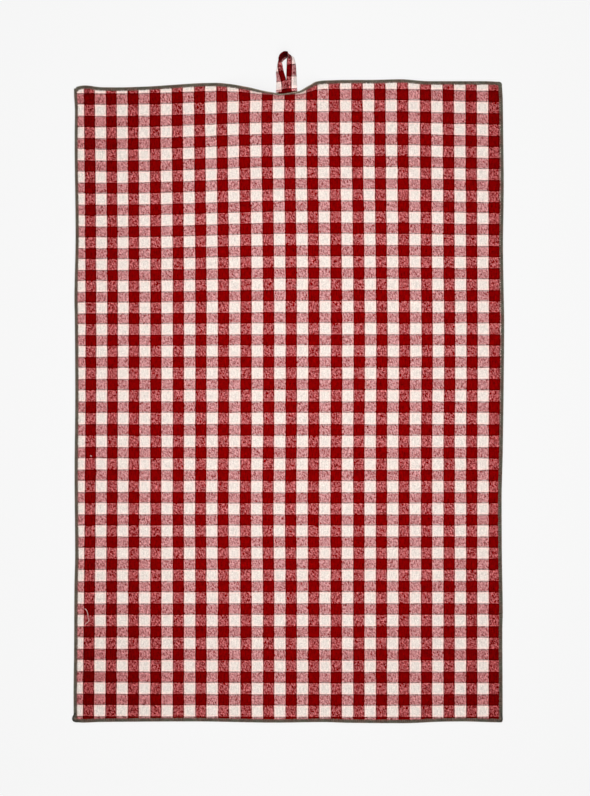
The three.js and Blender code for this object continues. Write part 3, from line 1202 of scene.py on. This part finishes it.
    def _stitch_tree(self) -> bpy.types.GeometryNodeTree:
        """Sets out the node tree that sews a stitch at even steps along an edge.

        Returns:
            The tree.
        """
        tree = bpy.data.node_groups.new("stitches_along_edge", "GeometryNodeTree")
        for name, kind in self.tree_inputs:
            tree.interface.new_socket(name, in_out="INPUT", socket_type=f"NodeSocket{kind}")
        tree.interface.new_socket("Geometry", in_out="OUTPUT", socket_type="NodeSocketGeometry")
        bench = Bench(tree)
        given = bench.add("NodeGroupInput").outputs
        line = bench.value("GeometryNodeMeshToCurve", {"Mesh": given["Geometry"]})
        spacing = given["Spacing"]
        even = bench.value("GeometryNodeResampleCurve", {"Curve": line, "Length": spacing}, mode="LENGTH")
        up, inward = (
            bench.value("GeometryNodeInputNamedAttribute", {"Name": name}, data_type="FLOAT_VECTOR")
            for name in ("up", "inward")
        )
        axes = {"primary_axis": "Z", "secondary_axis": "Y"}
        stance = bench.value("FunctionNodeAxesToRotation", {0: up, 1: inward}, **axes)
        change, swing = (Value(bench, given[name]) for name in ("Size Change", "Turn Change"))
        ranges = (
            ([1.0 - change] * 3, [change + 1.0] * 3),
            ([0.0, 0.0, swing * -1.0], [0.0, 0.0, swing]),
        )
        size, turn = (
            bench.value("FunctionNodeRandomValue", {"Min": bench.join(*least), "Max": bench.join(*most),
                                                    "Seed": given["Seed"]}, data_type="FLOAT_VECTOR")
            for least, most in ranges
        )
        sewn = bench.value("GeometryNodeInstanceOnPoints", {
            "Points": even,
            "Instance": bench.value("GeometryNodeObjectInfo", {"Object": given["Stitch"]}, "Geometry"),
            "Rotation": stance,
            "Scale": size,
        })
        turned = bench.value("GeometryNodeRotateInstances", {"Instances": sewn, "Rotation": turn})
        real = bench.value("GeometryNodeRealizeInstances", {0: turned})
        dressed = bench.value("GeometryNodeSetMaterial", {"Geometry": real, "Material": given["Thread"]})
        bench.add("NodeGroupOutput", {"Geometry": dressed})
        return tree

    def _sew(self, side: Side, points: Sequence[EdgePoint], stitch: bpy.types.Object,
             tree: bpy.types.GeometryNodeTree, thread: bpy.types.Material) -> bpy.types.Object:
        """Sews one side and turns the result into a plain mesh.

        Args:
            side: The side.
            points: The places along it.
            stitch: One stitch.
            tree: The node tree that sews along an edge.
            thread: The stitches' finish.

        Returns:
            The piece.
        """
        line = bpy.data.meshes.new("edge_line")
        pairs = [(index, index + 1) for index in range(len(points) - 1)]
        line.from_pydata([point.place * MM for point in points], pairs, [])
        for name in ("up", "inward"):
            values = [value for point in points for value in getattr(point, name)]
            line.attributes.new(name, "FLOAT_VECTOR", "POINT").data.foreach_set("vector", values)
        holder = bpy.data.objects.new("edge_line", line)
        bpy.context.collection.objects.link(holder)
        modifier = holder.modifiers.new("stitches", "NODES")
        modifier.node_group = tree
        values = {
            "Stitch": stitch,
            "Spacing": self.spacing * MM,
            "Size Change": self.size_change,
            "Turn Change": self.turn_change,
            "Seed": self.seed + list(Side).index(side),
            "Thread": thread,
        }
        for item in tree.interface.items_tree:
            if item.in_out == "INPUT" and item.name in values:
                modifier[item.identifier] = values[item.name]
        graph = bpy.context.evaluated_depsgraph_get()
        mesh = bpy.data.meshes.new_from_object(holder.evaluated_get(graph), depsgraph=graph)
        bpy.data.objects.remove(holder)
        mesh.name = f"edging_{side.value}_stitches"
        self._tint(mesh, side)
        mesh.shade_smooth()
        piece = bpy.data.objects.new(mesh.name, mesh)
        bpy.context.collection.objects.link(piece)
        return piece


class RouteRow(NamedTuple):
    """A place on the loop's crease line.

    heading points from the loop's hole outwards, in degrees from +X towards +Y. The inner half of the strip
    rises by inner_turn towards the hole, and the outer half drops by outer_turn. rise is how far the outer
    edge is off the floor, and square counts the squares of the check from the left tail.
    """

    x: float
    y: float
    rise: float
    heading: float
    inner_turn: float
    outer_turn: float
    square: float


class PaintedShade(NamedTuple):
    """A spot of painted shade in the loop's fold and how dark it is; below 0 it is painted light, where more
    light comes.

    Its middle is counted in squares along the strip and in millimetres out from the crease.
    """

    square: float
    squares: float
    out: float
    reach: float
    dark: float

    def share(self, square: float, out: float) -> float:
        """How much painted shade it puts on a point of the strip, or below 0 how much painted light."""
        return self.dark * bump((square - self.square) / self.squares) * bump((out - self.out) / self.reach)


class Station(NamedTuple):
    """One section of the loop: where its crease is, which way it runs and how it is turned, in radians."""

    place: Vector
    forward: Vector
    heading: float
    inner_turn: float
    outer_turn: float
    square: float


@dataclass
class HangingLoop:
    """The strip of the same cloth, folded to four layers and sewn on by both tails."""

    finish: GinghamFinish
    layout: CheckLayout
    half_width: float = 5.9
    thickness: float = 1.8
    step: float = 0.8
    crease_reach: float = 2.2
    face_columns: int = 18
    round_columns: int = 6
    seam_threads: float = 8.0
    column_start: int = 1265
    row_start: int = 550
    back_threads_per_mm: float = 14.0 / 8.6
    slope_reach: float = 0.01
    bend_step: float = 0.4
    skew: Track = Track([(0, 0.016), (0.9, 0.024), (2.3, 0.024), (3.3, 0)])
    # Spots of painted shade in the loop's fold; the two below 0 are painted light at the tails.
    painted_shade_spots: tuple[PaintedShade, ...] = (
        PaintedShade(4.98, 0.75, -2.2, 6.0, 0.82),
        PaintedShade(4.3, 0.9, -3.0, 7.0, 0.36),
        PaintedShade(4.66, 0.8, 5.0, 6.0, 0.7),
        PaintedShade(5.6, 0.8, -6.4, 2.2, 0.7),
        PaintedShade(0.95, 0.5, -3.6, 3.0, 0.25),
        PaintedShade(6.9, 2.0, 5.0, 6.5, 0.3),
        PaintedShade(0.5, 0.8, 0.0, 12.0, -0.9),
        PaintedShade(8.3, 0.8, 0.0, 12.0, -1.2),
    )
    route: tuple[RouteRow, ...] = (
        RouteRow(-8.2, 339.3, 11.8, 177, 0, 0, 0.0),
        RouteRow(-8.2, 339.3, 4.2, 177, 0, 0, 0.28),
        RouteRow(-8.1, 341.1, 0.6, 178, 0, 0, 0.67),
        RouteRow(-8.0, 346.6, 0, 178, 14, 6, 1.3),
        RouteRow(-8.7, 354.4, 0, 173, 12, 36, 2.25),
        RouteRow(-11.0, 362.4, 0, 170, 10, 66, 2.93),
        RouteRow(-11.7, 369.0, 0, 166, 26, 98, 3.46),
        RouteRow(-11.2, 373.0, 0, 156, 60, 130, 3.86),
        RouteRow(-9.9, 376.4, 0, 143, 100, 131, 4.2),
        RouteRow(-7.3, 379.5, 0, 122, 122, 131, 4.56),
        RouteRow(-4.0, 381.3, 0, 95, 132, 127, 4.86),
        RouteRow(-1.0, 381.5, 0, 66, 118, 122, 5.02),
        RouteRow(1.4, 380.6, 0, 40, 62, 104, 5.18),
        RouteRow(2.7, 378.0, 0, 20, 28, 70, 5.42),
        RouteRow(3.2, 371.4, 0, 5, 14, 48, 6.0),
        RouteRow(3.1, 360.0, 0, 0, 8, 28, 6.85),
        RouteRow(3.1, 348.0, 0, -2, 0, 4, 7.78),
        RouteRow(3.4, 342.2, 0.6, 4, 0, 0, 8.3),
        RouteRow(3.4, 340.3, 4.2, 8, 0, 0, 8.66),
        RouteRow(3.4, 340.3, 11.8, 8, 0, 0, 9.0),
    )

    def build(self) -> bpy.types.Object:
        """Makes the loop and sets it in the frame.

        Returns:
            The piece.
        """
        maker = MeshMaker()
        marks = self._section()
        sections = self._stations()
        for station in sections:
            maker.points.extend(self._ring(station, marks))
            # Each point carries the painted shade of the spots, and painted light where the sum is below 0.
            maker.depth.extend(
                min(1.0, sum(part.share(station.square, at) for part in self.painted_shade_spots)) for at, _, _ in marks
            )
        count = len(marks)
        columns = [self._column(at, face) for at, face, _ in marks]
        for ring in range(len(sections) - 1):
            here, there = ring * count, (ring + 1) * count
            rows = [
                [self._row(station.square + self.skew.read(station.square) * at) for at, _, _ in marks]
                for station in sections[ring:ring + 2]
            ]
            for turn in range(count):
                after = (turn + 1) % count
                next_column = columns[after] if after else columns[0] + self.seam_threads / self.layout.span
                maker.faces.append((here + turn, there + turn, there + after, here + after))
                maker.corner_maps.append([
                    (columns[turn], rows[0][turn]), (columns[turn], rows[1][turn]),
                    (next_column, rows[1][after]), (next_column, rows[0][after]),
                ])
        for start in (0, (len(sections) - 1) * count):
            self._add_cap(maker, start, count, columns, self._row(sections[0 if not start else -1].square))
        piece = maker.finish("loop_strip", self.finish.build())
        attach(piece, BODY)
        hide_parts("hanging_loop")
        return piece

    def _stations(self) -> list[Station]:
        """Follows a smooth curve through the route in even steps.

        Returns:
            The section at each step.
        """
        points = [self._crease(row) for row in self.route]
        found = []
        for index, (before, after) in enumerate(zip(self.route, self.route[1:])):
            steps = max(1, round((points[index + 1] - points[index]).length / self.step))
            for step in range(0 if index == 0 else 1, steps + 1):
                share = step / steps
                mixed = [a + (b - a) * share for a, b in zip(before, after)]
                place = centripetal(points, index, share)
                place.z = self._standing(mixed[5]) + mixed[2]
                ahead = centripetal(points, index, min(share + self.slope_reach, 1.0))
                behind = centripetal(points, index, max(share - self.slope_reach, 0.0))
                found.append(Station(place, (ahead - behind).normalized(), math.radians(mixed[3]),
                                     math.radians(mixed[4]), math.radians(mixed[5]), mixed[6]))
        return found

    def _crease(self, row: RouteRow) -> Vector:
        """A row's place, with the outer half of the strip on the floor where its rise is nothing."""
        return Vector((row.x, row.y, self._standing(row.outer_turn) + row.rise))

    def _standing(self, outer_turn: float) -> float:
        """How high the crease is where the outer half, turned down by so many degrees, meets the floor."""
        turn = math.radians(outer_turn)
        return self.half_width * math.sin(turn) + self.thickness / 2.0 * abs(math.cos(turn))

    def _section(self) -> list[Triple]:
        """Sets out the points round the strip.

        Returns:
            For each, how far out from the crease it is, on which face, and how far off the middle layer.
        """
        half = self.thickness / 2.0
        flat = self.half_width - half
        columns = range(self.face_columns + 1)
        face = [(-flat + 2.0 * flat * column / self.face_columns, 1.0, half) for column in columns]
        outer, inner = [], []
        for index in range(1, self.round_columns):
            angle = math.pi * index / self.round_columns
            off, reach = half * math.cos(angle), half * math.sin(angle)
            outer.append((flat + reach, 1.0 if off > 0.0 else -1.0, off))
            inner.append((-flat - reach, -1.0 if off > 0.0 else 1.0, -off))
        back = [(at, -1.0, -half) for at, _, _ in reversed(face)]
        return back[-1:] + inner + face + outer + back[:-1]

    def _column(self, at: float, face: float) -> float:
        """Finds the warp end at a point of the section: red inside, white outside and mostly red behind.

        Args:
            at: How far out from the crease.
            face: 1 on the face and -1 on the back.

        Returns:
            The warp end, as a share of the span.
        """
        pitch = self.layout.across_pitch / self.layout.repeat
        if face > 0.0:
            ends = self.layout.red_threads + at / pitch
        else:
            ends = self.layout.red_threads / 2.0 - (at + self.half_width) * self.back_threads_per_mm
        return (self.column_start + ends) / self.layout.span

    def _row(self, square: float) -> float:
        """The weft pick at a number of squares from the left tail."""
        return (self.row_start + square * self.layout.repeat / 2.0) / self.layout.span

    def _ring(self, station: Station, marks: Sequence[Triple]) -> list[Vector]:
        """Sets the section's points at a station, bent softly along the crease.

        Args:
            station: The section.
            marks: The points round the strip.

        Returns:
            Their places.
        """
        places = {at: self._spine(station, at) for at, _, _ in marks}
        ring = []
        for at, _, off in marks:
            place, across = places[at]
            up = station.forward.cross(across).normalized()
            ring.append(place + up * off)
        return ring

    def _spine(self, station: Station, at: float) -> tuple[Vector, Vector]:
        """Follows the middle layer from the crease to a distance out.

        Args:
            station: The section.
            at: The distance, negative towards the hole.

        Returns:
            The place there, and the direction outwards along the layer.
        """
        steps = max(1, math.ceil(abs(at) / self.bend_step))
        place = station.place.copy()
        for index in range(steps):
            place += self._across(station, at * (index + 0.5) / steps) * (at / steps)
        return place, self._across(station, at)

    def _across(self, station: Station, at: float) -> Vector:
        """Finds the direction outwards along the layer at a distance from the crease.

        Args:
            station: The section.
            at: The distance, negative towards the hole.

        Returns:
            The direction, at right angles to the way that the strip runs.
        """
        share = ease((at + self.crease_reach) / (2.0 * self.crease_reach))
        turn = station.inner_turn + (station.outer_turn - station.inner_turn) * share
        out = Vector((math.cos(station.heading), math.sin(station.heading), 0.0))
        direction = out * math.cos(turn) - Vector((0.0, 0.0, 1.0)) * math.sin(turn)
        return (direction - station.forward * direction.dot(station.forward)).normalized()

    def _add_cap(self, maker: MeshMaker, start: int, count: int, columns: Sequence[float],
                 row: float) -> None:
        """Closes an end of the strip, with small faces from its face to its back.

        Args:
            maker: What the strip is gathered in.
            start: The end section's first point.
            count: How many points the section has, an even number.
            columns: The warp end at each.
            row: The weft pick at the end.
        """
        for low in range(count // 2 - 1):
            high = count - 1 - low
            corners = [low, low + 1, high - 1, high]
            face = [start + corner for corner in corners]
            mapped = [(columns[corner], row) for corner in corners]
            if start:
                face.reverse()
                mapped.reverse()
            maker.faces.append(tuple(face))
            maker.corner_maps.append(mapped)


def smooth_path(points: Sequence[Vector], steps: int) -> list[Vector]:
    """Follows a smooth curve through points, in so many steps from each to the next."""
    places = [divmod(place, steps) for place in range((len(points) - 1) * steps)]
    return [centripetal(points, index, step / steps) for index, step in places] + [points[-1]]


def centripetal(points: Sequence[Vector], index: int, share: float) -> Vector:
    """Reads a centripetal Catmull-Rom curve.

    Args:
        points: The points that it passes.
        index: The point that its span starts at.
        share: How far along the span, from 0 to 1.

    Returns:
        The place on the curve.
    """
    last = len(points) - 1
    b, c = points[index], points[index + 1]
    a = points[index - 1] if index > 0 else b * 2.0 - c
    d = points[index + 2] if index + 2 <= last else c * 2.0 - b
    gaps = [max((second - first).length, 1e-4) ** 0.5 for first, second in ((a, b), (b, c), (c, d))]
    start = (b - a) / gaps[0] - (c - a) / (gaps[0] + gaps[1]) + (c - b) / gaps[1]
    end = (c - b) / gaps[1] - (d - b) / (gaps[1] + gaps[2]) + (d - c) / gaps[2]
    start, end = start * gaps[1], end * gaps[1]
    square, cube = share * share, share ** 3
    return (b * (2.0 * cube - 3.0 * square + 1.0) + start * (cube - 2.0 * square + share)
            + c * (3.0 * square - 2.0 * cube) + end * (cube - square))


class ShortThread(NamedTuple):
    """A bit of thread: its piece's name, its radius and the route of its middle."""

    name: str
    radius: float
    route: tuple[Pair, ...]


@dataclass
class StrayThreads:
    """The loose bits on the cloth's face: a fine thread near the left edge, a pale slub and a red speck."""

    form: ClothForm
    pale: ThreadFinish
    dark: ThreadFinish
    lie: float = 0.85
    sink: float = 0.6
    flatness: float = 0.8
    steps: int = 5
    sides: int = 8
    across: float = 0.5
    pale_bits: tuple[ShortThread, ...] = (
        ShortThread("loose_thread", 0.34, (
            (-224.1, -226.3), (-222.0, -228.2), (-220.7, -231.9), (-220.3, -236.1), (-219.3, -237.9),
            (-220.0, -240.2), (-223.9, -243.8),
        )),
        ShortThread("pale_slub", 0.55, ((-217.9, -58.2), (-217.2, -58.7), (-216.4, -59.3))),
    )
    dark_bits: tuple[ShortThread, ...] = (
        ShortThread("red_speck", 0.6, ((-199.9, -112.1), (-199.3, -112.3), (-198.8, -112.2))),
    )

    def build(self) -> list[bpy.types.Object]:
        """Makes the bits and sets them on the cloth.

        Returns:
            The pieces.
        """
        pieces = []
        for finish, bits in ((self.pale, self.pale_bits), (self.dark, self.dark_bits)):
            material = finish.build()
            pieces.extend(self._lay(bit, material) for bit in bits)
        for piece in pieces:
            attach(piece, BODY)
        return pieces

    def _lay(self, bit: ShortThread, material: bpy.types.Material) -> bpy.types.Object:
        """Lays a bit of thread on the cloth's face.

        Args:
            bit: The bit.
            material: Its finish.

        Returns:
            The piece.
        """
        height = self.lie + bit.radius * self.sink
        points = [Vector((x, y, self.form.lift(x, y) + height)) for x, y in bit.route]
        maker = MeshMaker()
        add_tube(maker, smooth_path(points, self.steps), bit.radius, bit.radius * self.flatness, self.sides,
                 False, OFF_AXIS, lambda point: self.across)
        return maker.finish(bit.name, material)


@dataclass
class ThreadTails:
    """The ends of the edging's thread chain, a twisted pair each, curled round three corners of the towel."""

    thread: ThreadFinish
    turns_per_mm: float = 0.5
    twist: float = 0.8
    lift: float = 0.1
    steps: int = 9
    sides: int = 7
    across: float = 0.3
    tails: tuple[ShortThread, ...] = (
        ShortThread("thread_tail_bottom_left", 0.7, (
            (-234.4, -341.2), (-235.4, -343.2), (-236.6, -345.6), (-236.8, -347.5), (-235.8, -349.2),
            (-233.4, -350.0), (-229.8, -349.8),
        )),
        ShortThread("thread_tail_bottom_right", 0.62, (
            (233.2, -341.4), (233.9, -345.3), (233.7, -348.6), (232.0, -350.0), (228.2, -349.9),
        )),
        ShortThread("thread_tail_top_left", 0.45, (
            (-233.2, 339.4), (-233.9, 341.6), (-233.3, 343.1), (-231.2, 344.6), (-228.6, 346.0),
        )),
    )

    def build(self) -> list[bpy.types.Object]:
        """Makes the tails and sets them on the corners.

        Returns:
            The pieces.
        """
        material = self.thread.build()
        pieces = []
        for tail in self.tails:
            maker = MeshMaker()
            height = 2.0 * tail.radius + self.lift
            centre = smooth_path([Vector((x, y, height)) for x, y in tail.route], self.steps)
            for half in (0.0, math.pi):
                strand = self._twisted(centre, tail.radius, half)
                add_tube(maker, strand, tail.radius, tail.radius, self.sides, False, OFF_AXIS,
                         lambda point: self.across)
            piece = maker.finish(tail.name, material)
            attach(piece, BODY)
            pieces.append(piece)
        return pieces

    def _twisted(self, centre: Sequence[Vector], radius: float, start: float) -> list[Vector]:
        """Winds one strand of a twisted pair round a centre line.

        Args:
            centre: The line.
            radius: The strand's radius.
            start: The angle that it starts at, in radians.

        Returns:
            The strand's own centre line.
        """
        path, gone = [], 0.0
        for index, place in enumerate(centre):
            before, after = centre[max(index - 1, 0)], centre[min(index + 1, len(centre) - 1)]
            forward = (after - before).normalized()
            beside = Vector((-forward.y, forward.x, 0.0))
            gone += (place - before).length
            angle = start + 2.0 * math.pi * self.turns_per_mm * gone
            off = beside * math.cos(angle) + Vector((0.0, 0.0, 1.0)) * math.sin(angle)
            path.append(place + off * radius * self.twist)
        return path


@dataclass
class Studio:
    """The pale floor, the soft light and the camera straight above."""

    centre: Pair = (6.81, 4.94)
    seen_height: float = 874.0
    camera_height: float = 6000.0
    camera_reach: float = 100.0
    sensor: float = 36.0
    floor_reach: float = 9000.0
    floor_level: float = -0.4
    floor_tone: Colour = (0.10, 0.10, 0.10, 1.0)
    floor_glow: float = 0.83
    lamp_place: Triple = (20.0, 50.0, 700.0)
    lamp_size: Pair = (600.0, 1200.0)
    lamp_watts: float = 6.55
    glow: float = 0.35

    def build(self) -> None:
        """Sets up the floor, the lights, the camera and how colours are shown."""
        self._floor()
        self._lights()
        self._camera()
        bpy.context.scene.view_settings.view_transform = "Standard"

    def _floor(self) -> None:
        """A pale floor that glows a little, so that it stays even."""
        material, bench = new_finish("pale_floor")
        surface = bench.value("ShaderNodeBsdfPrincipled", {
            "Base Color": self.floor_tone,
            "Roughness": 1.0,
            "Specular IOR Level": 0.0,
            "Emission Color": PLAIN,
            "Emission Strength": self.floor_glow,
        })
        bench.add("ShaderNodeOutputMaterial", {"Surface": surface})
        maker = MeshMaker()
        for x, y in ((-1, -1), (1, -1), (1, 1), (-1, 1)):
            maker.points.append(Vector((x * self.floor_reach, y * self.floor_reach, self.floor_level)))
        maker.faces = [(0, 1, 2, 3)]
        maker.finish("floor", material)

    def _lights(self) -> None:
        """A wide soft light overhead, and an even glow from all round."""
        lamp = bpy.data.lights.new("soft_light", "AREA")
        lamp.shape = "RECTANGLE"
        lamp.size, lamp.size_y = (side * MM for side in self.lamp_size)
        lamp.energy = self.lamp_watts
        holder = bpy.data.objects.new("soft_light", lamp)
        holder.location = Vector(self.lamp_place) * MM
        holder.visible_camera = False
        bpy.context.collection.objects.link(holder)
        world = bpy.data.worlds.new("glow")
        world.use_nodes = True
        bench = Bench(world.node_tree)
        glow = bench.value("ShaderNodeBackground", {"Color": PLAIN, "Strength": self.glow})
        bench.add("ShaderNodeOutputWorld", {"Surface": glow})
        bpy.context.scene.world = world

    def _camera(self) -> None:
        """A long lens straight above, so that the towel keeps its flat proportions."""
        lens = bpy.data.cameras.new("camera")
        lens.sensor_width = self.sensor
        lens.lens = self.sensor * self.camera_height / self.seen_height
        lens.clip_end = self.camera_reach
        camera = bpy.data.objects.new("camera", lens)
        camera.location = Vector((*self.centre, self.camera_height)) * MM
        bpy.context.collection.objects.link(camera)
        bpy.context.scene.camera = camera


def report(pieces: Iterable[bpy.types.Object]) -> None:
    """Says what each piece is made of.

    Args:
        pieces: The pieces.
    """
    for piece in pieces:
        triangles = sum(len(face.vertices) - 2 for face in piece.data.polygons)
        LOG.info("%s: %d triangles", piece.name, triangles)


def main() -> None:
    logging.basicConfig(level=logging.INFO, format="%(name)s %(message)s")
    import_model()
    Studio().build()
    form, layout = ClothForm(), CheckLayout()
    panel = ClothPanel(form, layout, GinghamFinish("gingham_twill", layout)).build()
    # The first tone of each edging thread is its painted highlight along the outline.
    olive = ThreadFinish("olive_thread", tone(158, 140, 122), tone(104, 100, 89), tone(100, 80, 69))
    under = ThreadFinish("olive_under_thread", tone(90, 84, 70), tone(74, 69, 58), tone(78, 64, 55))
    edging = OverlockEdging(form, layout, olive, under).build()
    tails = ThreadTails(ThreadFinish.plain("olive_chain", tone(70, 64, 58))).build()
    # The strip's finish is a copy of the towel's with painted light on its whites and painted shade on its
    # red and pink.
    lit_and_shaded_strip = GinghamFinish("gingham_strip", layout, red=tone(100, 0, 3), white=tone(242, 230, 224),
                          warp_by_red=tone(202, 144, 144), wander=0.5)
    loop = HangingLoop(lit_and_shaded_strip, layout).build()
    pale = ThreadFinish.plain("pink_fluff", tone(228, 180, 178))
    bits = StrayThreads(form, pale, ThreadFinish.plain("red_fluff", tone(114, 8, 12))).build()
    report([panel, *edging, *tails, loop, *bits])


if __name__ == "__main__":
    main()
